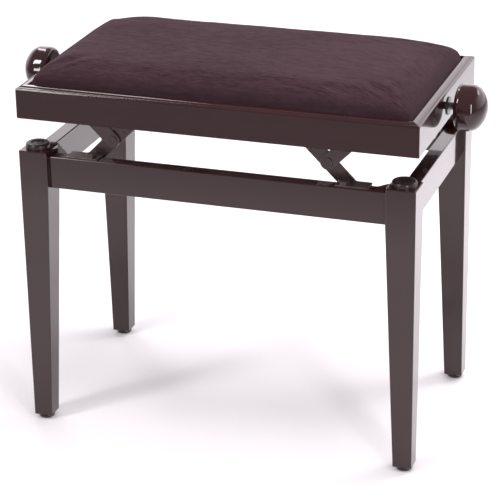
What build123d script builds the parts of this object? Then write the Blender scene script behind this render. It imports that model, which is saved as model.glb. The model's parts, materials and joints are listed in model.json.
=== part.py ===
from build123d import *
from math import cos, radians, sin
import os

os.makedirs("parts", exist_ok=True)

# Height-adjustable bench. Millimetres, +X along the long side, +Y to the back, +Z up,
# origin on the floor under the centre. Every corner piece is drawn at +X +Y and mirrored.

# Base frame
base_w, base_d, base_h = 546.0, 316.0, 400.5
leg_top, leg_foot = 40.0, 26.0        # square section above the taper and at the foot
leg_round, foot_bevel, top_bevel = 1.6, 2.0, 1.0
rail_z0, rail_z1 = 349.0, 393.5
rail_set_in = 7.5                     # rail face behind the leg face
long_rail_t, side_rail_t = 19.0, 20.0
rail_round = 1.2
tenon_t, tenon_l, tenon_z0, tenon_z1 = 8.0, 14.0, 353.5, 377.0
tenon_gap = 0.1
half_w, half_d = base_w / 2, base_d / 2
leg_in_x, leg_in_y = half_w - leg_top, half_d - leg_top
long_y1 = half_d - rail_set_in
long_y0 = long_y1 - long_rail_t
side_x1 = half_w - rail_set_in
side_x0 = side_x1 - side_rail_t

# Corner blocks and their screws
block_z0, block_z1 = 355.0, 391.5
block_x, block_y = 211.5, 91.5        # where the long face meets the two rails
block_screw_z, block_screw_r, block_screw_l = 384.0, 2.4, 25.0
block_screw_pitch, block_head_af, block_head_h = 21.0, 9.0, 3.2

# Feet and bumpers
glide_h, glide_r, glide_round = 5.0, 11.0, 2.6
glide_pin_r, glide_pin_l = 1.6, 12.0
bumper_r, bumper_h, bumper_round = 16.5, 7.5, 3.0
bumper_dish_r, bumper_dish_h = 9.5, 1.2

# Seat frame
seat_w, seat_d = 550.0, 304.0
seat_z0, nose_z, lip_z = 443.7, 486.2, 488.4
seat_rail_t, lip_w, ledge_z = 20.0, 12.5, 478.0
nose_r, quirk_w, quirk_h, lower_bevel = 3.0, 1.2, 0.9, 0.8
board_gap, board_top = 0.3, 484.5
seat_x, seat_y = seat_w / 2, seat_d / 2
board_x, board_y = seat_x - lip_w - board_gap, seat_y - lip_w - board_gap

# Cushion
cushion_wall, cushion_shoulder, cushion_crown = 9.0, 22.0, 35.5
cushion_in_x, cushion_in_y = 15.0, 13.0

# Lifting linkage
pivot_x, spindle_z, arm_half, rest_angle = 195.5, 464.0, 66.0, 45.0
arm_w, arm_t, layer_gap = 20.0, 3.0, 0.2
run_gap = 0.05                        # radial clearance of every turning fit
rise = arm_half * sin(radians(rest_angle))
reach = arm_half * cos(radians(rest_angle))
pivot_z, mid_z = spindle_z - 2 * rise, spindle_z - rise
mid_x, nut_x = pivot_x - reach, pivot_x - 2 * reach
long_arm_y0 = 123.1
long_arm_y1 = long_arm_y0 + arm_t
short_arm_y0 = long_arm_y1 + layer_gap
short_arm_y1 = short_arm_y0 + arm_t
pin_r, head_r, head_h = 4.0, 6.5, 1.4

# Base brackets and their bolts
flange_x0, flange_x1, flange_y1, flange_t = 164.0, 208.0, 148.5, 2.0
ear_half, ear_t = 12.0, 2.5
bolt_x, bolt_y, bolt_r, bolt_l, bolt_af, bolt_head_h = 174.5, 142.0, 4.0, 34.0, 13.0, 5.3

# Seat channels and their screws
web_y1 = seat_y - seat_rail_t
web_t, channel_x, channel_z0, channel_in = 2.5, 222.0, 452.0, 112.0
web_y0 = web_y1 - web_t
lift_screws_x, lift_screw_y = (20.0, 165.0, 209.0), 118.0
side_screws_x = (45.0, 214.5)
screw_r, screw_head_r, screw_head_h = 1.9, 3.8, 1.8
lift_screw_l, side_screw_l = 5.2, 10.0   # into the board, into the seat frame

# Spindle, nut bars, bushes and knobs
core_r, thread_r, thread_x0, thread_x1, spindle_end = 5.0, 6.0, 62.0, 176.0, 310.0
bar_r, journal_r, journal_end = 6.0, 5.0, 128.4
nut_block_x, nut_block_y, nut_block_z = 20.0, 34.0, 20.0
clip_r, clip_t, bar_gap = 8.0, 1.2, 0.3
bush_r, bush_flange_r, bush_flange_t = 8.0, 12.0, 1.5
washer_r, washer_t, washer_gap = 10.0, 2.0, 0.2
collar_r, collar_t, grub_r = 11.0, 9.8, 2.0
knob_x0, knob_x1, knob_r = 286.5, 327.5, 31.0
knob_back_r, knob_land_x0, knob_land_x1 = 21.5, 295.5, 304.0
knob_shoulder_x, knob_shoulder_r = 320.0, 22.5


def block(x0, x1, y0, y1, z0, z1):
    """Rectangular block between two corners."""
    return Pos((x0 + x1) / 2, (y0 + y1) / 2, (z0 + z1) / 2) * Box(x1 - x0, y1 - y0, z1 - z0)


def rod_x(x0, x1, r, y=0.0, z=spindle_z):
    return Pos((x0 + x1) / 2, y, z) * Rot(0, 90, 0) * Cylinder(r, x1 - x0)


def rod_y(x, z, y0, y1, r):
    return Pos(x, (y0 + y1) / 2, z) * Rot(90, 0, 0) * Cylinder(r, y1 - y0)


def rod_z(x, y, z0, z1, r):
    return Pos(x, y, (z0 + z1) / 2) * Cylinder(r, z1 - z0)


def place(shape, side_x, side_y):
    """Mirror a +X +Y piece to the corner named by two signs."""
    if side_x < 0:
        shape = mirror(shape, about=Plane.YZ)
    if side_y < 0:
        shape = mirror(shape, about=Plane.XZ)
    return shape


def save(name, *solids):
    shape = solids[0] if len(solids) == 1 else Compound(children=list(solids))
    export_step(shape, f"parts/{name}.step")


def stadium(xa, za, xb, zb, y0, y1):
    """Flat bar with round ends, standing across Y."""
    length = ((xb - xa) ** 2 + (zb - za) ** 2) ** 0.5
    plan = SlotCenterToCenter(length, arm_w)
    tilt = Plane(
        origin=((xa + xb) / 2, y1, (za + zb) / 2), x_dir=(xb - xa, 0, zb - za), z_dir=(0, -1, 0)
    )
    return extrude(tilt * plan, amount=y1 - y0)


def rounded(shape, axis, radius):
    return fillet(shape.edges().filter_by(axis), radius)


CORNERS = {
    "front_left": (-1, -1), "front_right": (1, -1), "back_left": (-1, 1), "back_right": (1, 1),
}

# ---- corner screws, shared by the blocks, legs and side rails they bite into
run = Vector(block_x - side_x0, long_y0 - block_y, 0)
along = run.normalized()
into = Vector(along.Y, -along.X, 0)


def corner_screw(offset, bare):
    """One screw square to the block's long face, with or without its head."""
    foot = Vector(side_x0, block_y, 0) + run * 0.5 + along * offset
    seat = Plane(origin=(foot.X, foot.Y, block_screw_z), z_dir=(into.X, into.Y, 0))
    shank = extrude(seat * Circle(block_screw_r), amount=block_screw_l)
    if bare:
        return shank
    head = extrude(seat * RegularPolygon(block_head_af / 2, 6, major_radius=False), amount=-block_head_h)
    return shank + head


screw_offsets = (-block_screw_pitch / 2, block_screw_pitch / 2)
screw_holes = [corner_screw(offset, True) for offset in screw_offsets]

# ---- legs
long_mid_y = (long_y0 + long_y1) / 2
side_mid_x = (side_x0 + side_x1) / 2
glide_x, glide_y = half_w - leg_foot / 2, half_d - leg_foot / 2

def square(size, x, y, z):
    return (Pos(x, y, z) * Rectangle(size, size)).face()


foot_face = square(leg_foot, glide_x, glide_y, glide_h + foot_bevel)
sole_face = square(leg_foot - 2 * foot_bevel, glide_x, glide_y, glide_h)
top_face = square(leg_top, half_w - leg_top / 2, half_d - leg_top / 2, rail_z0)
leg = loft([foot_face, top_face])
leg += block(leg_in_x, half_w, leg_in_y, half_d, rail_z0, base_h)
leg = chamfer(leg.faces().sort_by(Axis.Z)[-1].edges(), top_bevel)
leg = fillet(leg.edges().filter_by(lambda e: e.length > leg_top + 1), leg_round)
leg += loft([sole_face, foot_face])
half_t = tenon_t / 2 + tenon_gap
leg -= block(leg_in_x, leg_in_x + tenon_l + tenon_gap, long_mid_y - half_t, long_mid_y + half_t,
             tenon_z0 - tenon_gap, tenon_z1 + tenon_gap)
leg -= block(side_mid_x - half_t, side_mid_x + half_t, leg_in_y, leg_in_y + tenon_l + tenon_gap,
             tenon_z0 - tenon_gap, tenon_z1 + tenon_gap)
leg -= rod_z(glide_x, glide_y, glide_h, glide_h + glide_pin_l, glide_pin_r)
for hole in screw_holes:
    leg -= hole

# ---- base rails with tenons
long_rail = rounded(block(-leg_in_x, leg_in_x, long_y0, long_y1, rail_z0, rail_z1), Axis.X, rail_round)
side_rail = rounded(block(side_x0, side_x1, -leg_in_y, leg_in_y, rail_z0, rail_z1), Axis.Y, rail_round)
long_rail += block(-leg_in_x - tenon_l, leg_in_x + tenon_l, long_mid_y - tenon_t / 2,
                   long_mid_y + tenon_t / 2, tenon_z0, tenon_z1)
side_rail += block(side_mid_x - tenon_t / 2, side_mid_x + tenon_t / 2, -leg_in_y - tenon_l,
                   leg_in_y + tenon_l, tenon_z0, tenon_z1)
for side in (-1, 1):
    long_rail -= rod_z(side * bolt_x, bolt_y, rail_z1 - bolt_l, rail_z1, bolt_r)
    for hole in screw_holes:
        side_rail -= place(hole, 1, side)
        long_rail -= place(hole, side, 1)
save("base_rail_front", place(long_rail, 1, -1))
save("base_rail_back", long_rail)
save("base_rail_left", place(side_rail, -1, 1))
save("base_rail_right", side_rail)

# ---- corner blocks, notched round the leg
outline = [(side_x0, leg_in_y), (side_x0, block_y), (block_x, long_y0), (leg_in_x, long_y0),
           (leg_in_x, leg_in_y)]
corner = extrude(Pos(0, 0, block_z0) * make_face(Polyline(*outline, close=True)), amount=block_z1 - block_z0)
for hole in screw_holes:
    corner -= hole

# ---- base brackets: flange on the rail, ear carrying the long arm's lower pivot
bracket = block(flange_x0, flange_x1, short_arm_y0, flange_y1, rail_z1, rail_z1 + flange_t)
bracket += block(pivot_x - ear_half, pivot_x + ear_half, short_arm_y0, short_arm_y0 + ear_t, pivot_z, rail_z1)
bracket += rod_y(pivot_x, pivot_z, short_arm_y0, short_arm_y0 + ear_t, ear_half)
bracket -= rod_y(pivot_x, pivot_z, short_arm_y0, short_arm_y0 + ear_t, pin_r)
bracket -= rod_z(bolt_x, bolt_y, rail_z1, rail_z1 + flange_t, bolt_r)

for corner_name, (sx, sy) in CORNERS.items():
    save(f"leg_{corner_name}", place(leg, sx, sy))
    save(f"corner_block_{corner_name}", place(corner, sx, sy))
    save(f"base_bracket_{corner_name}", place(bracket, sx, sy))


def at_corners(shape):
    """The same fastener at all four corners."""
    return [place(shape, sx, sy) for sx, sy in CORNERS.values()]


save("corner_block_screws", *[s for offset in screw_offsets for s in at_corners(corner_screw(offset, False))])

bracket_top = rail_z1 + flange_t
hex_head = Pos(bolt_x, bolt_y, bracket_top) * RegularPolygon(bolt_af / 2, 6, major_radius=False)
bolt = extrude(hex_head, amount=bolt_head_h) + rod_z(bolt_x, bolt_y, rail_z1 - bolt_l, bracket_top, bolt_r)
save("bracket_bolts", *at_corners(bolt))

ear_y1 = short_arm_y0 + ear_t
base_pin = rod_y(pivot_x, pivot_z, long_arm_y0 - layer_gap, ear_y1, pin_r)
base_pin += rod_y(pivot_x, pivot_z, long_arm_y0 - layer_gap - head_h, long_arm_y0 - layer_gap, head_r)
base_pin += rod_y(pivot_x, pivot_z, ear_y1, ear_y1 + head_h, head_r)
save("base_pivot_pins", *at_corners(base_pin))

# ---- feet and bumpers
glide = rod_z(glide_x, glide_y, 0, glide_h, glide_r)
glide = fillet(glide.edges().sort_by(Axis.Z)[0], glide_round)
glide += rod_z(glide_x, glide_y, glide_h, glide_h + glide_pin_l, glide_pin_r)
save("leg_glides", *at_corners(glide))

bumper_x, bumper_y = half_w - leg_top / 2, half_d - leg_top / 2
bumper = rod_z(bumper_x, bumper_y, base_h, base_h + bumper_h, bumper_r)
bumper = fillet(bumper.edges().sort_by(Axis.Z)[-1], bumper_round)
bumper -= rod_z(bumper_x, bumper_y, base_h + bumper_h - bumper_dish_h, base_h + bumper_h, bumper_dish_r)
save("seat_bumpers", *at_corners(bumper))

# ---- seat frame: one moulded section, mitred at the corners
# drawn with the outer face at zero and the inside towards minus
nose_mid = nose_r * (1 - cos(radians(45)))
step = nose_r + quirk_w
lip_start = (-lip_w + 1.0, lip_z)
section = make_face(Curve() + [
    Line((0, seat_z0 + lower_bevel), (0, nose_z - nose_r)),
    ThreePointArc((0, nose_z - nose_r), (-nose_mid, nose_z - nose_mid), (-nose_r, nose_z)),
    Polyline((-nose_r, nose_z), (-nose_r - quirk_w / 2, nose_z - quirk_h), (-step, nose_z)),
    Spline((-step, nose_z), lip_start, tangents=[(-1, 0.9), (-1, 0.1)]),
    Polyline(lip_start, (-lip_w, lip_z - 0.5), (-lip_w, ledge_z), (-seat_rail_t, ledge_z),
             (-seat_rail_t, seat_z0), (-lower_bevel, seat_z0), (0, seat_z0 + lower_bevel)),
])


def seat_rail(half_run, half_depth):
    """Section run along X at the +Y side, cut to the mitres."""
    rail = extrude(Plane.YZ * Pos(half_depth, 0, 0) * section, amount=half_run, both=True)
    inner = half_run - seat_rail_t
    mitre = Polyline((-half_run, half_depth), (half_run, half_depth), (inner, half_depth - seat_rail_t),
                     (-inner, half_depth - seat_rail_t), close=True)
    return rail & extrude(Pos(0, 0, seat_z0) * make_face(mitre), amount=lip_z - seat_z0)


seat_long = seat_rail(seat_x, seat_y)
for x in side_screws_x:
    for side in (-1, 1):
        seat_long -= rod_y(side * x, channel_z0 + 15, web_y1, web_y1 + side_screw_l, screw_r)
seat_side = Rot(0, 0, -90) * seat_rail(seat_y, seat_x)
seat_side -= rod_x(seat_x - seat_rail_t, seat_x, bush_r)
save("seat_rail_back", seat_long)
save("seat_rail_front", place(seat_long, 1, -1))
save("seat_rail_right", seat_side)
save("seat_rail_left", place(seat_side, -1, 1))

# ---- seat board, with pilot holes for the channel screws
board = block(-board_x, board_x, -board_y, board_y, ledge_z, board_top)
for x in lift_screws_x:
    for sx, sy in CORNERS.values():
        board -= rod_z(sx * x, sy * lift_screw_y, ledge_z, ledge_z + lift_screw_l, screw_r)
save("seat_board", board)


def crowned(half_run, inset, half_cross):
    """Slab with upright walls, round shoulders and a crown, along one direction."""
    wall_z, shoulder_z = board_top + cushion_wall, board_top + cushion_shoulder
    bulge_x = half_run - inset * (1 - cos(radians(45)))
    bulge_z = wall_z + (shoulder_z - wall_z) * sin(radians(45))
    shoulder_x = half_run - inset
    face = make_face(Curve() + [
        Polyline((-half_run, wall_z), (-half_run, board_top), (half_run, board_top), (half_run, wall_z)),
        ThreePointArc((half_run, wall_z), (bulge_x, bulge_z), (shoulder_x, shoulder_z)),
        ThreePointArc((shoulder_x, shoulder_z), (0, board_top + cushion_crown), (-shoulder_x, shoulder_z)),
        ThreePointArc((-shoulder_x, shoulder_z), (-bulge_x, bulge_z), (-half_run, wall_z)),
    ])
    return extrude(Plane.XZ * face, amount=half_cross, both=True)


# ---- cushion: foam and cover as one soft solid
cushion = crowned(board_x, cushion_in_x, board_y)
cushion &= Rot(0, 0, 90) * crowned(board_y, cushion_in_y, board_x)
save("seat_cushion", cushion)

# ---- seat channels
channel = block(-channel_x, channel_x, web_y0, web_y1, channel_z0, ledge_z)
channel += block(-channel_x, channel_x, channel_in, web_y0, ledge_z - flange_t, ledge_z)
channel_screws = []
for side in (-1, 1):
    channel -= rod_y(side * pivot_x, spindle_z, web_y0, web_y1, pin_r)
    for x in lift_screws_x:
        screw = rod_z(side * x, lift_screw_y, ledge_z - flange_t, ledge_z + lift_screw_l, screw_r)
        channel -= screw
        under = ledge_z - flange_t
        channel_screws.append(screw + rod_z(side * x, lift_screw_y, under - screw_head_h, under, screw_head_r))
    for x in side_screws_x:
        screw = rod_y(side * x, channel_z0 + 15, web_y0, web_y1 + side_screw_l, screw_r)
        channel -= screw
        channel_screws.append(
            screw + rod_y(side * x, channel_z0 + 15, web_y0 - screw_head_h, web_y0, screw_head_r))
save("seat_channel_back", channel)
save("seat_channel_front", place(channel, 1, -1))
save("channel_screws", *channel_screws, *[place(s, 1, -1) for s in channel_screws])

seat_pin = rod_y(pivot_x, spindle_z, short_arm_y0 - layer_gap, web_y1, pin_r)
seat_pin += rod_y(pivot_x, spindle_z, short_arm_y0 - layer_gap - head_h, short_arm_y0 - layer_gap, head_r)
save("seat_pivot_pins", *at_corners(seat_pin))

# ---- arms, rivets, nut bars
long_arm = stadium(pivot_x, pivot_z, nut_x, spindle_z, long_arm_y0, long_arm_y1)
long_arm -= rod_y(pivot_x, pivot_z, long_arm_y0, long_arm_y1, pin_r + run_gap)
long_arm -= rod_y(mid_x, mid_z, long_arm_y0, long_arm_y1, pin_r)
long_arm -= rod_y(nut_x, spindle_z, long_arm_y0, long_arm_y1, journal_r + run_gap)

short_arm = stadium(mid_x, mid_z, pivot_x, spindle_z, short_arm_y0, short_arm_y1)
for x, z in ((mid_x, mid_z), (pivot_x, spindle_z)):
    short_arm -= rod_y(x, z, short_arm_y0, short_arm_y1, pin_r + run_gap)

rivet_y = short_arm_y1 + layer_gap / 2
rivet = rod_y(mid_x, mid_z, long_arm_y0, rivet_y, pin_r)
rivet += rod_y(mid_x, mid_z, long_arm_y0 - head_h, long_arm_y0, head_r)
rivet += rod_y(mid_x, mid_z, rivet_y, rivet_y + head_h, head_r)

nut_y, nut_z = nut_block_y / 2, nut_block_z / 2
nut_bar = rod_y(nut_x, spindle_z, -long_arm_y0 + bar_gap, long_arm_y0 - bar_gap, bar_r)
nut_bar += rod_y(nut_x, spindle_z, -journal_end, journal_end, journal_r)
nut_bar += block(nut_x - nut_block_x / 2, nut_x + nut_block_x / 2, -nut_y, nut_y,
                 spindle_z - nut_z, spindle_z + nut_z)
nut_bar -= rod_x(nut_x - nut_block_x / 2, nut_x + nut_block_x / 2, thread_r + run_gap)
clip_y = long_arm_y1 + bar_gap
clip = rod_y(nut_x, spindle_z, clip_y, clip_y + clip_t, clip_r)
clip -= rod_y(nut_x, spindle_z, clip_y, clip_y + clip_t, journal_r)

for hand, sx in (("left", -1), ("right", 1)):
    for end, sy in (("front", -1), ("back", 1)):
        save(f"long_arm_{end}_{hand}", place(long_arm, sx, sy))
        save(f"short_arm_{end}_{hand}", place(short_arm, sx, sy))
    save(f"centre_rivets_{hand}", place(rivet, sx, -1), place(rivet, sx, 1))
    save(f"nut_bar_{hand}", place(nut_bar, sx, 1))
    save(f"nut_bar_clips_{hand}", place(clip, sx, -1), place(clip, sx, 1))

# ---- spindle with its collars, washers, bushes and knobs
spindle = rod_x(-spindle_end, spindle_end, core_r)
for side in (-1, 1):
    spindle += rod_x(*sorted((side * thread_x0, side * thread_x1)), thread_r)
save("spindle", spindle)

bush_x0 = seat_x - seat_rail_t
bush = rod_x(bush_x0, seat_x, bush_r) + rod_x(seat_x, seat_x + bush_flange_t, bush_flange_r)
bush -= rod_x(bush_x0, seat_x + bush_flange_t, core_r + run_gap)
washer_x1 = bush_x0 - washer_gap
washer_x0 = washer_x1 - washer_t
washer = rod_x(washer_x0, washer_x1, washer_r) - rod_x(washer_x0, washer_x1, core_r)
collar = rod_x(washer_x0 - collar_t, washer_x0, collar_r) - rod_x(washer_x0 - collar_t, washer_x0, core_r)
grub = rod_z(washer_x0 - collar_t / 2, 0, spindle_z + core_r, spindle_z + collar_r, grub_r)
grub &= rod_x(washer_x0 - collar_t, washer_x0, collar_r)
grub -= rod_x(washer_x0 - collar_t, washer_x0, core_r)
collar -= rod_z(washer_x0 - collar_t / 2, 0, spindle_z, spindle_z + collar_r, grub_r)

knob_curve = [
    Line((knob_x0, 0), (knob_x0, knob_back_r)),
    Spline((knob_x0, knob_back_r), (knob_land_x0, knob_r), tangents=[(0, 1), (1, 0)]),
    Line((knob_land_x0, knob_r), (knob_land_x1, knob_r)),
    Spline((knob_land_x1, knob_r), (knob_shoulder_x, knob_shoulder_r), (knob_x1, 0), tangents=[(1, 0), (0, -1)]),
    Line((knob_x1, 0), (knob_x0, 0)),
]
knob = Pos(0, 0, spindle_z) * revolve(make_face(Curve() + knob_curve), Axis.X)
knob -= rod_x(knob_x0, spindle_end, core_r)

for hand, sx in (("left", -1), ("right", 1)):
    save(f"spindle_bush_{hand}", place(bush, sx, 1))
    save(f"spindle_collar_{hand}", place(collar, sx, 1))
    save(f"knob_{hand}", place(knob, sx, 1))
save("thrust_washers", washer, place(washer, -1, 1))
save("collar_grub_screws", grub, place(grub, -1, 1))
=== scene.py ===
import json
from math import cos, pi, radians, sin

import bpy
import bmesh
from mathutils import Matrix, Vector, noise


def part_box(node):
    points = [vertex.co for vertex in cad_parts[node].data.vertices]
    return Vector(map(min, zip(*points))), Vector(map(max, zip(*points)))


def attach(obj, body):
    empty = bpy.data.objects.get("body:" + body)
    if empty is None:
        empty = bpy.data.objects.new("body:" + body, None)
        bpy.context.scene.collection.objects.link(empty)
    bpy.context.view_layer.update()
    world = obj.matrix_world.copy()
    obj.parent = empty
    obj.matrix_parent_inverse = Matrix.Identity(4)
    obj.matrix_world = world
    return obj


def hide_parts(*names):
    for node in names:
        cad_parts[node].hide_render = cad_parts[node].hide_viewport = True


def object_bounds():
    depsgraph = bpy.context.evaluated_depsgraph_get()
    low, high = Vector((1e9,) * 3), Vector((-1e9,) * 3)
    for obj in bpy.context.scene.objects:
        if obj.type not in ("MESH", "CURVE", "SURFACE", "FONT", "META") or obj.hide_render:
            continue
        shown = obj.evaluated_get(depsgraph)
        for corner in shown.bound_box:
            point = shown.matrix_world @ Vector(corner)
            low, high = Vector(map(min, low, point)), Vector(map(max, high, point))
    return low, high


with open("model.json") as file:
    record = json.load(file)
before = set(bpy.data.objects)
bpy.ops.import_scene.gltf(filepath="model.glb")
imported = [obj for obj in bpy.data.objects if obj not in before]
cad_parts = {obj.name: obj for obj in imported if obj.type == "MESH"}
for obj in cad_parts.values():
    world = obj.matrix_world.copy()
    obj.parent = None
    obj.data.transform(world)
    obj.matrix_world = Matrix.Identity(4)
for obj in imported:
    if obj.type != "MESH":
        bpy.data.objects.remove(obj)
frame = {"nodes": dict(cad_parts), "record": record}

CAD_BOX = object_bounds()

# Working dimensions, in metres
VOXEL = 0.005                  # foam mesh before the cover is drawn tight
PRESSURE, SIM_FRAMES = 4.0, 20 # inside the cover, and for how many frames it swells
MOST_SWELL = 0.0028            # furthest that a point of the cover may move
CROWN_RISE = 0.0290            # start height of the crown over the frame's lip
CROWN_ROLL_X, CROWN_ROLL_Y = 0.085, 0.058      # width of the round towards each edge
ROLL_POWER = 3.2
CROWN_FALL_X, CROWN_FALL_Y = 0.03, 0.05        # share of the rise lost from middle to edge
CROWN_UNEVEN, UNEVEN_FROM = 0.0007, 0.01       # height of the unevenness, and the rise it fades in over
PAD_CORNER = 0.006
FOAM_DEPTH = 0.016             # below the lip while the cover is drawn, then cut level
PAD_SIDE_GAP, PAD_BASE_GAP = 0.0004, 0.0002    # to the frame's lip and to the board
TACKED_BELOW = 0.003           # the cover is held still from this far under the lip downwards
PAD_CREASE = radians(60)
THREAD_PITCH = 0.005
THREAD_FROM, THREAD_TO = 0.062, 0.176          # each threaded length, from the middle
THREAD_FADE = 0.003            # run-out at both ends of a thread
THREAD_STEPS, THREAD_SIDES = 14, 28            # stations in one pitch, and points around
CORE_SHARE = 5.0 / 6.0         # thread root radius over crest radius
ROD_CHAMFER = 0.0008
ROD_CREASE = radians(50)

# Floor and camera, in metres and degrees
FLOOR_REACH, FLOOR_DROP = 14.0, 0.0002
# Painted shade on the floor: its colour darkens towards the front, in place of light falling off there
FLOOR_PAINTED_SHADE_FROM, FLOOR_PAINTED_SHADE_TO, FLOOR_PAINTED_SHADE_DEPTH = -0.92, -1.3, 0.55
CAMERA_AZIMUTH, CAMERA_ELEVATION, CAMERA_ROLL = 19.107, 22.70, -0.941
CAMERA_DISTANCE, CAMERA_AIM = 2.79851, (0.003785, -0.018872, 0.244911)
SENSOR_WIDTH = 36.0            # millimetres, as is the lens
LENS_PER_SENSOR = 4.048488
CLIP_END = 60.0

# name, place, aim, width, height, watts, tint, spread in degrees, seen in reflections
LIGHTS = (
    ("overhead softbox", (0.4, 0.0, 2.3), (0.2, 0.0, 0.0), 1.6, 1.2, 40.0, (1.0, 0.95, 0.98), 180, False),
    ("far floor light", (0.1, 2.4, 2.4), (0.1, 2.3, 0.0), 3.4, 1.0, 26.0, (1.0, 0.97, 0.99), 110, False),
    ("back right softbox", (1.25, 1.1, 1.1), (0.65, 0.65, 0.0), 0.7, 0.7, 3.2, (1.0, 0.95, 0.98), 70, True),
    ("back left softbox", (-1.05, 1.1, 2.0), (-0.2, 0.0, 0.45), 0.26, 1.0, 6.0, (1.0, 0.95, 0.98), 180, True),
    ("front left softbox", (-1.3, -1.45, 2.1), (0.0, 0.0, 0.4), 0.36, 0.9, 23.0, (1.0, 0.96, 0.98),
     180, True),
    ("right strip", (1.4, -1.6, 0.8), (0.30, 0.0, 0.45), 0.14, 1.5, 16.0, (1.0, 0.98, 0.98), 180, True),
    ("left strip", (-1.1, -2.0, 0.9), (0.30, 0.0, 0.45), 0.20, 0.7, 7.0, (1.0, 0.98, 0.98), 180, True),
)


# ---------------------------------------------------------------- node helpers

class Shade:
    """A material or group tree with short calls for adding and joining nodes."""

    def __init__(self, tree):
        self.tree = tree
        self.tree.nodes.clear()
        self.column = 0

    def node(self, kind, inputs=None, **settings):
        made = self.tree.nodes.new(kind)
        self.column += 1
        made.location = (self.column * 180, 0)
        for name, value in settings.items():
            setattr(made, name, value)
        for name, value in (inputs or {}).items():
            self.feed(made, name, value)
        return made

    def feed(self, made, name, value):
        socket = made.inputs[name]
        if isinstance(value, bpy.types.NodeSocket):
            self.tree.links.new(value, socket)
        else:
            socket.default_value = value

    def math(self, operation, a, b=0.0, clamp=False):
        made = self.node("ShaderNodeMath", operation=operation, use_clamp=clamp)
        self.feed(made, 0, a)
        self.feed(made, 1, b)
        return made.outputs[0]

    def blend(self, factor, a, b, how="MIX"):
        made = self.node("ShaderNodeMix", data_type="RGBA", blend_type=how)
        self.feed(made, "Factor", factor)
        for index, value in ((6, a), (7, b)):
            if isinstance(value, bpy.types.NodeSocket):
                self.tree.links.new(value, made.inputs[index])
            else:
                made.inputs[index].default_value = value
        return made.outputs[2]

    def span(self, value, from_min, from_max, to_min, to_max):
        made = self.node("ShaderNodeMapRange", {
            "Value": value, "From Min": from_min, "From Max": from_max, "To Min": to_min, "To Max": to_max})
        return made.outputs[0]

    def stretched(self, point, scale):
        return self.node("ShaderNodeMapping", {"Vector": point, "Scale": scale}).outputs[0]

    def clouds(self, point, scale, detail=3.0, roughness=0.5, distortion=0.0):
        made = self.node("ShaderNodeTexNoise", {
            "Vector": point, "Scale": scale, "Detail": detail, "Roughness": roughness,
            "Distortion": distortion})
        return made.outputs[0]


def rgb(r, g, b):
    return (r, g, b, 1.0)


def group(name, inputs, outputs):
    """A shader node group with named sockets; returns its tree, its input node and its output node."""
    tree = bpy.data.node_groups.new(name, "ShaderNodeTree")
    for label, kind, value in inputs:
        socket = tree.interface.new_socket(label, in_out="INPUT", socket_type=kind)
        socket.default_value = value
    for label, kind in outputs:
        tree.interface.new_socket(label, in_out="OUTPUT", socket_type=kind)
    shade = Shade(tree)
    return shade, shade.node("NodeGroupInput"), shade.node("NodeGroupOutput")


FLOAT, COLOR = "NodeSocketFloat", "NodeSocketColor"


def tone_drift_group():
    """Slow change of tone over a surface, as stain or coating thickness gives."""
    shade, given, out = group(
        "tone drift",
        [("Color", COLOR, rgb(0.5, 0.5, 0.5)), ("Scale", FLOAT, 6.0), ("Amount", FLOAT, 0.2)],
        [("Color", COLOR)])
    point = shade.node("ShaderNodeTexCoord").outputs["Object"]
    cloud = shade.clouds(point, given.outputs["Scale"], 4.0, 0.55, 0.4)
    swing = shade.math("MULTIPLY", shade.math("SUBTRACT", cloud, 0.5), given.outputs["Amount"])
    gain = shade.math("ADD", shade.math("MULTIPLY", swing, 2.0), 1.0)
    grey = shade.node("ShaderNodeCombineColor", {"Red": gain, "Green": gain, "Blue": gain}).outputs[0]
    shade.feed(out, "Color", shade.blend(1.0, given.outputs["Color"], grey, "MULTIPLY"))
    return shade.tree


def edge_rub_group():
    """Mask of the convex edges, broken up, where handling thins a finish."""
    shade, given, out = group(
        "edge rub", [("Width", FLOAT, 0.0015), ("Amount", FLOAT, 0.5)], [("Mask", FLOAT)])
    geometry = shade.node("ShaderNodeNewGeometry")
    soft = shade.node("ShaderNodeBevel", {"Radius": given.outputs["Width"]}, samples=6)
    near = shade.node("ShaderNodeVectorMath", operation="DOT_PRODUCT")
    shade.feed(near, 0, geometry.outputs["Normal"])
    shade.feed(near, 1, soft.outputs[0])
    bend = shade.span(near.outputs["Value"], 0.995, 0.80, 0.0, 1.0)
    point = shade.node("ShaderNodeTexCoord").outputs["Object"]
    broken = shade.span(shade.clouds(point, 160.0, 4.0, 0.65), 0.42, 0.62, 0.0, 1.0)
    mask = shade.math("MULTIPLY", bend, shade.math("MULTIPLY", broken, given.outputs["Amount"]), clamp=True)
    shade.feed(out, "Mask", mask)
    return shade.tree


def handled_haze_group():
    """Roughness that wanders a little, as dust and handling leave it, with a fine height."""
    shade, given, out = group(
        "handled haze",
        [("Roughness", FLOAT, 0.1), ("Spread", FLOAT, 0.05), ("Scale", FLOAT, 30.0), ("Ripple", FLOAT, 60.0)],
        [("Roughness", FLOAT), ("Height", FLOAT)])
    point = shade.node("ShaderNodeTexCoord").outputs["Object"]
    cloud = shade.clouds(point, given.outputs["Scale"], 5.0, 0.6)
    spread = shade.math("MULTIPLY", shade.math("SUBTRACT", cloud, 0.5), given.outputs["Spread"])
    shade.feed(out, "Roughness", shade.math("ADD", given.outputs["Roughness"], spread, clamp=True))
    shade.feed(out, "Height", shade.clouds(point, given.outputs["Ripple"], 2.0, 0.4))
    return shade.tree


def drawn_along_x(shade, point, along, across):
    """A point scaled apart along X and across it, so that clouds read as lines along X."""
    scale = shade.node("ShaderNodeCombineXYZ", {"X": along, "Y": across, "Z": across}).outputs[0]
    drawn = shade.node("ShaderNodeVectorMath", operation="MULTIPLY")
    shade.feed(drawn, 0, point)
    shade.feed(drawn, 1, scale)
    return drawn.outputs[0]


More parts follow.
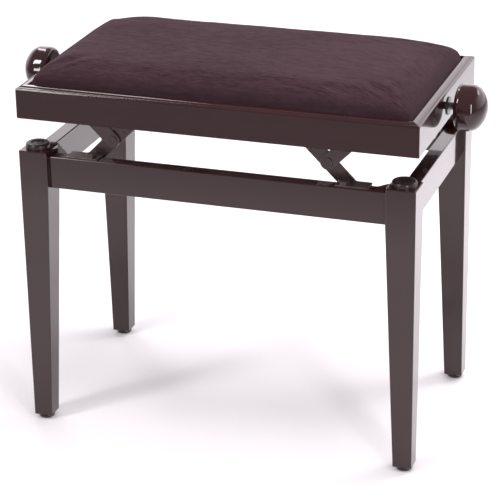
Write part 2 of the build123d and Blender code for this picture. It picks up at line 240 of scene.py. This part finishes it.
def wood_grain_group():
    """Long grain along a stretched direction: a colour blend and a height."""
    shade, given, out = group(
        "wood grain",
        [("Light", COLOR, rgb(0.5, 0.35, 0.2)), ("Dark", COLOR, rgb(0.3, 0.2, 0.1)),
         ("Lengthways", FLOAT, 2.0), ("Across", FLOAT, 60.0)],
        [("Color", COLOR), ("Height", FLOAT)])
    point = shade.node("ShaderNodeTexCoord").outputs["Object"]
    drawn = drawn_along_x(shade, point, given.outputs["Lengthways"], given.outputs["Across"])
    lines = shade.clouds(drawn, 1.0, 6.0, 0.6, 1.2)
    pores = shade.clouds(drawn, 5.0, 3.0, 0.7)
    mixed = shade.math(
        "MULTIPLY", shade.span(lines, 0.3, 0.7, 0.0, 1.0), shade.span(pores, 0.25, 0.6, 0.55, 1.0))
    shade.feed(out, "Color", shade.blend(mixed, given.outputs["Dark"], given.outputs["Light"]))
    shade.feed(out, "Height", mixed)
    return shade.tree


def brushed_metal_group():
    """Fine drawn lines along X, and a mottled tone, for turned or rolled steel."""
    shade, given, out = group(
        "brushed metal",
        [("Color", COLOR, rgb(0.5, 0.5, 0.5)), ("Roughness", FLOAT, 0.35), ("Along", FLOAT, 30.0),
         ("Across", FLOAT, 1800.0)],
        [("Color", COLOR), ("Roughness", FLOAT), ("Height", FLOAT)])
    point = shade.node("ShaderNodeTexCoord").outputs["Object"]
    drawn = drawn_along_x(shade, point, given.outputs["Along"], given.outputs["Across"])
    lines = shade.clouds(drawn, 1.0, 3.0, 0.6)
    mottle = shade.clouds(point, 45.0, 5.0, 0.6)
    both = shade.math("ADD", shade.math("MULTIPLY", lines, 0.5), shade.math("MULTIPLY", mottle, 0.5))
    gain = shade.span(both, 0.3, 0.7, 0.72, 1.15)
    grey = shade.node("ShaderNodeCombineColor", {"Red": gain, "Green": gain, "Blue": gain}).outputs[0]
    shade.feed(out, "Color", shade.blend(1.0, given.outputs["Color"], grey, "MULTIPLY"))
    swing = shade.math("MULTIPLY", shade.math("SUBTRACT", mottle, 0.5), 0.3)
    rough = shade.math("ADD", given.outputs["Roughness"], swing)
    shade.feed(out, "Roughness", rough)
    shade.feed(out, "Height", lines)
    return shade.tree


GROUPS = {
    "tone drift": tone_drift_group(), "edge rub": edge_rub_group(), "handled haze": handled_haze_group(),
    "wood grain": wood_grain_group(), "brushed metal": brushed_metal_group(),
}


def placed(shade, name, **inputs):
    """One of the shared groups, placed in a material with its own values."""
    made = shade.node("ShaderNodeGroup", node_tree=GROUPS[name])
    for label, value in inputs.items():
        shade.feed(made, label, value)
    return made


def material(name):
    made = bpy.data.materials.new(name)
    made.use_nodes = True
    return made, Shade(made.node_tree)


def surface(shade, constants, color, roughness, height=None, bump=0.1, reach=0.001, soft_edge=None):
    """The Principled shader with its fixed values on its own sockets, and the output."""
    shader = shade.node("ShaderNodeBsdfPrincipled")
    for label, value in constants.items():
        shader.inputs[label].default_value = value
    shade.feed(shader, "Base Color", color)
    shade.feed(shader, "Roughness", roughness)
    if height is not None:
        bumped = shade.node("ShaderNodeBump", {"Height": height, "Strength": bump, "Distance": reach})
        if soft_edge:
            eased = shade.node("ShaderNodeBevel", {"Radius": soft_edge}, samples=6)
            shade.feed(bumped, "Normal", eased.outputs[0])
        shade.feed(shader, "Normal", bumped.outputs[0])
    out = shade.node("ShaderNodeOutputMaterial")
    shade.tree.links.new(shader.outputs[0], out.inputs["Surface"])
    return shader


# ------------------------------------------------------------------- materials

def gloss_lacquer(name, base, streak):
    """Dark polished lacquer over stained wood: deep clear coat, faint ripple, rubbed edges."""
    made, shade = material(name)
    drift = placed(shade, "tone drift", Color=base, Scale=9.0, Amount=0.30)
    grain = placed(shade, "wood grain", Light=streak, Dark=base, Lengthways=1.5, Across=42.0)
    tone = shade.blend(0.35, drift.outputs[0], grain.outputs["Color"])
    rub = placed(shade, "edge rub", Width=0.0016, Amount=0.30)
    tone = shade.blend(rub.outputs[0], tone, rgb(0.12, 0.045, 0.04))
    haze = placed(shade, "handled haze", Roughness=0.16, Spread=0.08, Scale=14.0, Ripple=38.0)
    surface(shade, {"IOR": 1.5, "Specular IOR Level": 0.05, "Coat Weight": 1.0, "Coat Roughness": 0.03,
                    "Coat IOR": 1.52}, tone, haze.outputs["Roughness"], haze.outputs["Height"], 0.05, 0.0008)
    return made


def satin_wood(name, light, dark, roughness):
    made, shade = material(name)
    grain = placed(shade, "wood grain", Light=light, Dark=dark, Lengthways=6.0, Across=110.0)
    drift = placed(shade, "tone drift", Color=grain.outputs["Color"], Scale=14.0, Amount=0.25)
    haze = placed(shade, "handled haze", Roughness=roughness, Spread=0.15, Scale=40.0, Ripple=90.0)
    surface(shade, {"IOR": 1.48}, drift.outputs[0], haze.outputs["Roughness"],
            grain.outputs["Height"], 0.25, 0.0004, soft_edge=0.0006)
    return made


def coated_steel(name, base, bare):
    """Sheet steel with a dark coating, worn bright along the cut edges."""
    made, shade = material(name)
    drift = placed(shade, "tone drift", Color=base, Scale=30.0, Amount=0.35)
    rub = placed(shade, "edge rub", Width=0.0009, Amount=0.75)
    tone = shade.blend(rub.outputs[0], drift.outputs[0], bare)
    haze = placed(shade, "handled haze", Roughness=0.30, Spread=0.16, Scale=60.0, Ripple=240.0)
    shader = surface(shade, {"IOR": 1.5, "Coat Weight": 0.3, "Coat Roughness": 0.18}, tone,
                     haze.outputs["Roughness"], haze.outputs["Height"], 0.18, 0.0004, soft_edge=0.0005)
    shade.feed(shader, "Metallic", shade.span(rub.outputs[0], 0.0, 1.0, 0.12, 1.0))
    return made


def bright_steel(name, base, roughness, along, across):
    made, shade = material(name)
    brushed = placed(shade, "brushed metal", Color=base, Roughness=roughness, Along=along, Across=across)
    surface(shade, {"Metallic": 1.0}, brushed.outputs["Color"], brushed.outputs["Roughness"],
            brushed.outputs["Height"], 0.12, 0.0002, soft_edge=0.0004)
    return made


def moulded_rubber(name, base, roughness):
    made, shade = material(name)
    drift = placed(shade, "tone drift", Color=base, Scale=70.0, Amount=0.35)
    haze = placed(shade, "handled haze", Roughness=roughness, Spread=0.25, Scale=120.0, Ripple=900.0)
    surface(shade, {"IOR": 1.5}, drift.outputs[0], haze.outputs["Roughness"], haze.outputs["Height"],
            0.2, 0.0002, soft_edge=0.0005)
    return made


def brushed_plush(name, deep, pale_pile_and_sheen):
    """Velvet pile: broken brush marks along X that bend forwards on the right, weaker on the steep
    sides, with a fine nap and a painted sheen: a lighter tone at grazing edges."""
    made, shade = material(name)
    point = shade.node("ShaderNodeTexCoord").outputs["Object"]
    apart = shade.node("ShaderNodeSeparateXYZ", {"Vector": point})
    past = shade.math("MAXIMUM", shade.math("SUBTRACT", apart.outputs["X"], 0.06), 0.0)
    bend = shade.math("MULTIPLY", shade.math("MULTIPLY", past, past), 1.5)
    swung = shade.math("ADD", apart.outputs["Y"], bend)
    lay = shade.node("ShaderNodeCombineXYZ", {
        "X": apart.outputs["X"], "Y": swung, "Z": apart.outputs["Z"]}).outputs[0]
    sweep = shade.clouds(shade.stretched(point, (5.0, 9.0, 5.0)), 1.0, 3.0, 0.5)
    marks = shade.clouds(shade.stretched(lay, (34.0, 240.0, 150.0)), 1.0, 4.0, 0.60, 0.5)
    crush = shade.clouds(shade.stretched(lay, (90.0, 460.0, 320.0)), 1.0, 3.0, 0.6, 0.4)
    nap = shade.clouds(point, 1500.0, 2.0, 0.6)
    level = shade.math("ADD", shade.math("MULTIPLY", marks, 0.5), shade.math("MULTIPLY", crush, 0.5))
    level = shade.math("ADD", level, shade.math("MULTIPLY", shade.math("SUBTRACT", sweep, 0.5), 0.30))
    level = shade.span(level, 0.36, 0.66, 0.0, 1.0)
    normal = shade.node("ShaderNodeNewGeometry").outputs["Normal"]
    facing = shade.node("ShaderNodeSeparateXYZ", {"Vector": normal})
    top_side = shade.span(facing.outputs["Z"], 0.70, 0.97, 0.35, 1.0)
    level = shade.math("ADD", 0.45, shade.math("MULTIPLY", shade.math("SUBTRACT", level, 0.45), top_side))
    level = shade.math("MULTIPLY", level, shade.span(nap, 0.2, 0.8, 0.75, 1.2), clamp=True)
    tone = shade.blend(level, deep, pale_pile_and_sheen)
    # Painted sheen: where the surface turns away at grazing angles, the tone is lightened towards the pale
    # pile colour
    edge = shade.node("ShaderNodeLayerWeight", {"Blend": 0.35}).outputs["Facing"]
    tone = shade.blend(shade.math("MULTIPLY", edge, 0.30), tone, pale_pile_and_sheen)
    height = shade.math("ADD", shade.math("MULTIPLY", level, 0.6), shade.math("MULTIPLY", nap, 0.4))
    surface(shade, {"Sheen Weight": 0.06, "Sheen Roughness": 0.40, "Sheen Tint": rgb(0.75, 0.55, 0.62),
                    "Specular IOR Level": 0.15, "IOR": 1.4}, tone, 0.95, height, 0.35, 0.0008)
    return made


FINISH = {
    "gloss_lacquer": gloss_lacquer("polished lacquer", rgb(0.020, 0.0065, 0.0075), rgb(0.042, 0.012, 0.013)),
    "knob_lacquer": gloss_lacquer(
        "polished knob lacquer", rgb(0.022, 0.0065, 0.0075), rgb(0.040, 0.012, 0.013)),
    "block_wood": satin_wood("stained block wood", rgb(0.060, 0.028, 0.026), rgb(0.030, 0.013, 0.013), 0.38),
    "plywood": satin_wood("stained plywood", rgb(0.060, 0.030, 0.026), rgb(0.032, 0.015, 0.014), 0.55),
    "velvet": brushed_plush("crushed plum velvet", rgb(0.0165, 0.0074, 0.0096), rgb(0.056, 0.031, 0.038)),
    "bumper_rubber": moulded_rubber("soft bumper rubber", rgb(0.016, 0.0075, 0.008), 0.30),
    "glide_plastic": moulded_rubber("glide plastic", rgb(0.016, 0.012, 0.012), 0.42),
    "dark_steel": coated_steel("dark coated steel", rgb(0.044, 0.024, 0.024), rgb(0.34, 0.28, 0.28)),
    "black_hardware": coated_steel("blackened hardware", rgb(0.034, 0.018, 0.019), rgb(0.40, 0.34, 0.34)),
    "zinc_steel": bright_steel("zinc plated steel", rgb(0.52, 0.48, 0.49), 0.32, 400.0, 400.0),
    "spindle_steel": bright_steel("oiled spindle steel", rgb(0.17, 0.15, 0.15), 0.26, 1400.0, 60.0),
}


def slot_of(node):
    for part in frame["record"]["subparts"]:
        if part["node"] == node:
            return part["material_slot"]


def dress(obj, finish):
    """Give a CAD node's object its finish on every material slot."""
    if not obj.material_slots:
        obj.data.materials.append(finish)
    for held in obj.material_slots:
        held.link = "OBJECT"
        held.material = finish


for node_name, node_object in frame["nodes"].items():
    dress(node_object, FINISH[slot_of(node_name)])


# ------------------------------------------------------------------- mesh work

def piece(name, mesh, body, slot_name):
    """A new piece in the row frame, riding a body, with its slot's finish."""
    obj = bpy.data.objects.new(name, mesh)
    bpy.context.scene.collection.objects.link(obj)
    mesh.materials.clear()
    mesh.materials.append(FINISH[slot_name])
    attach(obj, body)
    return obj


def smooth(mesh, angle=None):
    for face in mesh.polygons:
        face.use_smooth = True
    if angle is not None:
        mesh.set_sharp_from_angle(angle=angle)


# ---- cushion

def roll_off(distance, half, width):
    """How much of the crown is left at a distance from the middle: flat, then a quick round to the edge."""
    run = (abs(distance) - (half - width)) / width
    if run <= 0.0:
        return 1.0
    return max(0.0, 1.0 - min(run, 1.0) ** ROLL_POWER) ** (1.0 / ROLL_POWER)


def crown(x, y, half_x, half_y, lip):
    fall = 1.0 - CROWN_FALL_X * (x / half_x) ** 2 - CROWN_FALL_Y * (y / half_y) ** 2
    lift = CROWN_RISE * roll_off(x, half_x, CROWN_ROLL_X) * roll_off(y, half_y, CROWN_ROLL_Y) * fall
    unevenness = CROWN_UNEVEN * noise.noise(Vector((x * 14.0, y * 18.0, 4.0)))
    return lip + lift + unevenness * min(1.0, lift / UNEVEN_FROM)


def rounded_corner(x, y, half_x, half_y, radius):
    """Pull a point of the rectangle's corner in to a round corner."""
    over_x, over_y = abs(x) - (half_x - radius), abs(y) - (half_y - radius)
    if over_x <= 0 or over_y <= 0:
        return x, y
    far = max(over_x, over_y)
    length = (over_x ** 2 + over_y ** 2) ** 0.5
    shrink = far / length
    new_x = half_x - radius + over_x * shrink
    new_y = half_y - radius + over_y * shrink
    return (new_x if x > 0 else -new_x), (new_y if y > 0 else -new_y)


def foam_block(half_x, half_y, bottom, lip, across=88, deep=56):
    """Closed block of foam: flat underneath, straight sides up to the lip, crowned top."""
    work = bmesh.new()

    def spaced(index, count, half):
        """Rows that crowd towards the two edges."""
        return half * sin((index / count - 0.5) * pi)

    def sheet(height):
        rows = []
        for j in range(deep + 1):
            row = []
            for i in range(across + 1):
                x, y = spaced(i, across, half_x), spaced(j, deep, half_y)
                z = height(x, y)
                x, y = rounded_corner(x, y, half_x, half_y, PAD_CORNER)
                row.append(work.verts.new((x, y, z)))
            rows.append(row)
        return rows

    top = sheet(lambda x, y: crown(x, y, half_x, half_y, lip))
    base = sheet(lambda x, y: bottom)
    for j in range(deep):
        for i in range(across):
            work.faces.new((top[j][i], top[j][i + 1], top[j + 1][i + 1], top[j + 1][i]))
            work.faces.new((base[j][i], base[j + 1][i], base[j + 1][i + 1], base[j][i + 1]))
    rim = [(0, i) for i in range(across)] + [(j, across) for j in range(deep)]
    rim += [(deep, i) for i in range(across, 0, -1)] + [(j, 0) for j in range(deep, 0, -1)]
    for (j, i), (next_j, next_i) in zip(rim, rim[1:] + rim[:1]):
        work.faces.new((base[j][i], base[next_j][next_i], top[next_j][next_i], top[j][i]))
    bmesh.ops.recalc_face_normals(work, faces=work.faces)
    mesh = bpy.data.meshes.new("foam")
    work.to_mesh(mesh)
    work.free()
    return mesh


def applied(obj):
    """The object's mesh with its modifiers worked in."""
    depsgraph = bpy.context.evaluated_depsgraph_get()
    return bpy.data.meshes.new_from_object(obj.evaluated_get(depsgraph))


def drawn_tight(foam, pinned_below, scene):
    """Cover the foam: remesh it evenly, swell the cover under pressure, and cap how far it moves."""
    stand = bpy.data.objects.new("foam under cover", foam)
    scene.collection.objects.link(stand)
    remesh = stand.modifiers.new("even", "REMESH")
    remesh.mode, remesh.voxel_size, remesh.use_smooth_shade = "VOXEL", VOXEL, True
    even = applied(stand)
    stand.modifiers.clear()
    stand.data = even
    start = [v.co.copy() for v in even.vertices]
    held = stand.vertex_groups.new(name="tacked")
    held.add([v.index for v in even.vertices if v.co.z < pinned_below], 1.0, "REPLACE")
    cloth = stand.modifiers.new("cover", "CLOTH")
    cloth.settings.quality = 6
    cloth.settings.mass = 0.4
    cloth.settings.tension_stiffness = 25.0
    cloth.settings.compression_stiffness = 25.0
    cloth.settings.bending_stiffness = 1.5
    cloth.settings.use_pressure = True
    cloth.settings.uniform_pressure_force = PRESSURE
    cloth.settings.vertex_group_mass = "tacked"
    cloth.settings.effector_weights.gravity = 0.0
    for frame_number in range(1, SIM_FRAMES + 1):
        scene.frame_set(frame_number)
    swollen = applied(stand)
    ends = [v.co.copy() for v in swollen.vertices]
    stand.modifiers.clear()
    scene.frame_set(1)
    for vertex, begin, end in zip(even.vertices, start, ends):
        move = end - begin
        if move.length > MOST_SWELL:
            move *= MOST_SWELL / move.length
        vertex.co = begin + move
    return stand


def cut_flat(mesh, height):
    """Cut the pad off level where it rests on the board, and close it."""
    work = bmesh.new()
    work.from_mesh(mesh)
    cut = bmesh.ops.bisect_plane(
        work, geom=work.verts[:] + work.edges[:] + work.faces[:], dist=1e-6, plane_co=(0, 0, height),
        plane_no=(0, 0, 1), clear_inner=True)
    rim = [g for g in cut["geom_cut"] if isinstance(g, bmesh.types.BMEdge)]
    bmesh.ops.edgeloop_fill(work, edges=rim)
    bmesh.ops.recalc_face_normals(work, faces=work.faces)
    work.to_mesh(mesh)
    work.free()


def seat_cushion(scene):
    low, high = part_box("seat_cushion")
    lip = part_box("seat_rail_back")[1][2]
    half_x, half_y = high[0] - PAD_SIDE_GAP, high[1] - PAD_SIDE_GAP
    foam = foam_block(half_x, half_y, lip - FOAM_DEPTH, lip)
    stand = drawn_tight(foam, lip - TACKED_BELOW, scene)
    finer = stand.modifiers.new("finer", "SUBSURF")
    finer.levels = finer.render_levels = 1
    mesh = applied(stand)
    bpy.data.objects.remove(stand)
    for vertex in mesh.vertices:
        co = vertex.co
        co.x = max(-half_x, min(half_x, co.x))
        co.y = max(-half_y, min(half_y, co.y))
    cut_flat(mesh, low[2] + PAD_BASE_GAP)
    smooth(mesh, PAD_CREASE)
    mesh.name = "velvet cushion"
    cushion = piece("velvet_cushion", mesh, "seat", "velvet")
    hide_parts("seat_cushion")


# ---- spindle

def thread_height(phase):
    """Flank shape over one pitch: root, rise, crest, fall, each from 0 to 1."""
    phase %= 1.0
    if phase < 0.28:
        return 0.0
    if phase < 0.44:
        return (phase - 0.28) / 0.16
    if phase < 0.72:
        return 1.0
    if phase < 0.88:
        return 1.0 - (phase - 0.72) / 0.16
    return 0.0


def threaded_spindle():
    """Turned rod along X with two threaded lengths of opposite hand."""
    low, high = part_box("spindle")
    axis_z = (low[2] + high[2]) / 2
    crest = (high[2] - low[2]) / 2
    core = crest * CORE_SHARE
    end = high[0]
    thread_length = THREAD_TO - THREAD_FROM
    stations = [(-end, core - ROD_CHAMFER, 0), (-end + ROD_CHAMFER, core, 0)]
    steps = int(round(thread_length / THREAD_PITCH * THREAD_STEPS))
    for hand in (-1, 1):
        run = [THREAD_FROM + thread_length * k / steps for k in range(steps + 1)]
        ordered = [hand * x for x in (run if hand > 0 else reversed(run))]
        stations += [(x, None, hand) for x in ordered]
    stations += [(end - ROD_CHAMFER, core, 0), (end, core - ROD_CHAMFER, 0)]
    work = bmesh.new()
    loops = []
    for x, radius, hand in stations:
        loop = []
        for k in range(THREAD_SIDES):
            angle = 2 * pi * k / THREAD_SIDES
            if hand:
                run_out = min(abs(x) - THREAD_FROM, THREAD_TO - abs(x)) / THREAD_FADE
                phase = x / THREAD_PITCH - hand * k / THREAD_SIDES
                lift = thread_height(phase) * max(0.0, min(1.0, run_out))
                reach = core + (crest - core) * lift
            else:
                reach = radius
            loop.append(work.verts.new((x, reach * cos(angle), axis_z + reach * sin(angle))))
        loops.append(loop)
    for here, there in zip(loops, loops[1:]):
        for k in range(THREAD_SIDES):
            after = (k + 1) % THREAD_SIDES
            work.faces.new((here[k], here[after], there[after], there[k]))
    work.faces.new(loops[0])
    work.faces.new(list(reversed(loops[-1])))
    bmesh.ops.recalc_face_normals(work, faces=work.faces)
    mesh = bpy.data.meshes.new("threaded spindle")
    work.to_mesh(mesh)
    work.free()
    smooth(mesh, ROD_CREASE)
    spindle = piece("threaded_spindle", mesh, "spindle", "spindle_steel")
    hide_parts("spindle")


seat_cushion(bpy.context.scene)
threaded_spindle()


# ------------------------------------------------------------ floor, light, camera

def pale_floor():
    """A pale floor with painted shade that darkens it in front of the bench, where the glossy fronts mirror
    it.
    """
    made, shade = material("pale studio floor")
    point = shade.node("ShaderNodeTexCoord").outputs["Object"]
    cloud = shade.clouds(point, 1.3, 3.0)
    tone = shade.blend(cloud, rgb(0.80, 0.79, 0.80), rgb(0.84, 0.83, 0.84))
    # Painted shade: in front of the bench the floor colour is blended towards black, standing in for light
    # falling off
    depth = shade.node("ShaderNodeSeparateXYZ", {"Vector": point}).outputs["Y"]
    painted_shade = shade.span(depth, FLOOR_PAINTED_SHADE_TO, FLOOR_PAINTED_SHADE_FROM, FLOOR_PAINTED_SHADE_DEPTH, 0.0)
    tone = shade.blend(painted_shade, tone, rgb(0.0, 0.0, 0.0))
    surface(shade, {"Specular IOR Level": 0.0}, tone, 0.9)
    mesh = bpy.data.meshes.new("studio floor")
    corners = [(x * FLOOR_REACH, y * FLOOR_REACH, 0) for x, y in ((-1, -1), (1, -1), (1, 1), (-1, 1))]
    mesh.from_pydata(corners, [], [(0, 1, 2, 3)])
    mesh.materials.append(made)
    floor = bpy.data.objects.new("studio_floor", mesh)
    floor.location.z = CAD_BOX[0][2] - FLOOR_DROP
    bpy.context.scene.collection.objects.link(floor)


def soft_light(name, place, aim, width, height, watts, tint, spread, mirrored):
    lamp = bpy.data.lights.new(name, "AREA")
    lamp.spread = radians(spread)
    lamp.shape, lamp.size, lamp.size_y = "RECTANGLE", width, height
    lamp.energy, lamp.color = watts, tint
    held = bpy.data.objects.new(name, lamp)
    held.location = place
    held.rotation_euler = (Vector(aim) - Vector(place)).to_track_quat("-Z", "Y").to_euler()
    held.visible_glossy = mirrored
    bpy.context.scene.collection.objects.link(held)


def studio_light():
    """A dim room with a brighter low wall behind the bench, and the lights of the table."""
    world = bpy.data.worlds.new("soft room")
    bpy.context.scene.world = world
    world.use_nodes = True
    shade = Shade(world.node_tree)
    direction = shade.node("ShaderNodeTexCoord").outputs["Generated"]
    towards = shade.node("ShaderNodeSeparateXYZ", {"Vector": direction})
    behind = shade.span(towards.outputs["Y"], -0.25, 0.45, 0.0, 1.0)
    low = shade.span(towards.outputs["Z"], 0.44, 0.66, 1.0, 0.0)
    wall = shade.math("MULTIPLY", behind, low)
    glow = shade.math("ADD", shade.math("MULTIPLY", wall, 1.4), 0.34)
    room = shade.node("ShaderNodeBackground", {"Color": rgb(1.0, 0.94, 0.98), "Strength": glow})
    shade.node("ShaderNodeOutputWorld", {"Surface": room.outputs[0]})
    for row in LIGHTS:
        soft_light(*row)


def bench_camera():
    azimuth, elevation, roll = (radians(a) for a in (CAMERA_AZIMUTH, CAMERA_ELEVATION, CAMERA_ROLL))
    back = Vector((sin(azimuth) * cos(elevation), -cos(azimuth) * cos(elevation), sin(elevation)))
    side = (-back).cross(Vector((0, 0, 1))).normalized()
    upward = side.cross(-back)
    across = side * cos(roll) + upward * sin(roll)
    up = upward * cos(roll) - side * sin(roll)
    lens = bpy.data.cameras.new("bench camera")
    lens.sensor_width = SENSOR_WIDTH
    lens.lens = LENS_PER_SENSOR * SENSOR_WIDTH
    lens.clip_end = CLIP_END
    held = bpy.data.objects.new("bench camera", lens)
    place = Matrix.Translation(Vector(CAMERA_AIM) + back * CAMERA_DISTANCE)
    held.matrix_world = place @ Matrix((across, up, back)).transposed().to_4x4()
    bpy.context.scene.collection.objects.link(held)
    bpy.context.scene.camera = held


pale_floor()
studio_light()
bench_camera()
bpy.context.scene.view_settings.view_transform = "Standard"

bpy.context.view_layer.update()
